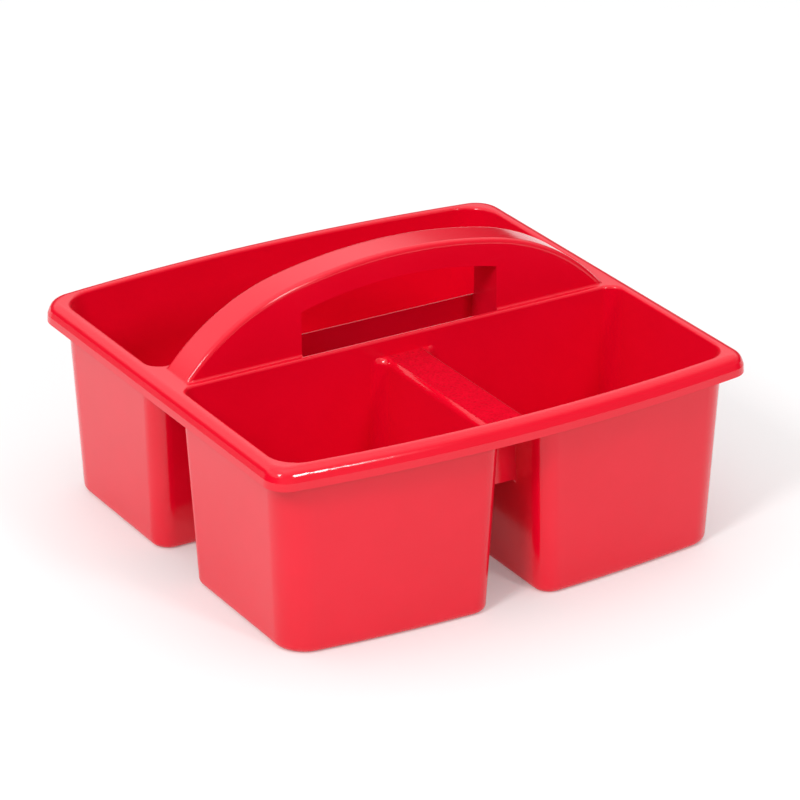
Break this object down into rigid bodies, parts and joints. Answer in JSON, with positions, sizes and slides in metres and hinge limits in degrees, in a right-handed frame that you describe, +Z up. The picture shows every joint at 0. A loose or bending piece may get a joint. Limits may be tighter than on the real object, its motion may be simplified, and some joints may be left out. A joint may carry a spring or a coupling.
{
  "type": "art supply caddy",
  "caption": "Open plastic supply caddy: one long tub behind an arched carrying handle with a hand slot, two short tubs in front, hung from one rounded rim.",
  "frame": {"origin": "on the table under the middle of the box", "axes": "+X along the handle, +Y towards the long tub behind the handle, +Z up"},
  "size_m": [0.2364, 0.2318, 0.1285],
  "materials": {
    "red_gloss": "moulded polypropylene, red, glossy with faint mottling",
    "red_textured": "the same plastic with a fine pebbled mould texture"
  },
  "bodies": {
    "root": {"rim_front": "red_gloss", "rim_back": "red_gloss", "rim_left": "red_gloss", "rim_right": "red_gloss", "front_ledge": "red_gloss", "back_ledge": "red_gloss", "handle_grip": "red_gloss", "handle_left_leg": "red_gloss", "handle_right_leg": "red_gloss", "slot_left_wall": "red_gloss", "slot_right_wall": "red_gloss", "back_tub": "red_gloss", "front_left_tub": "red_gloss", "front_right_tub": "red_gloss", "gap_rib": "red_gloss", "bridge": "red_textured"}
  },
  "joints": []
}
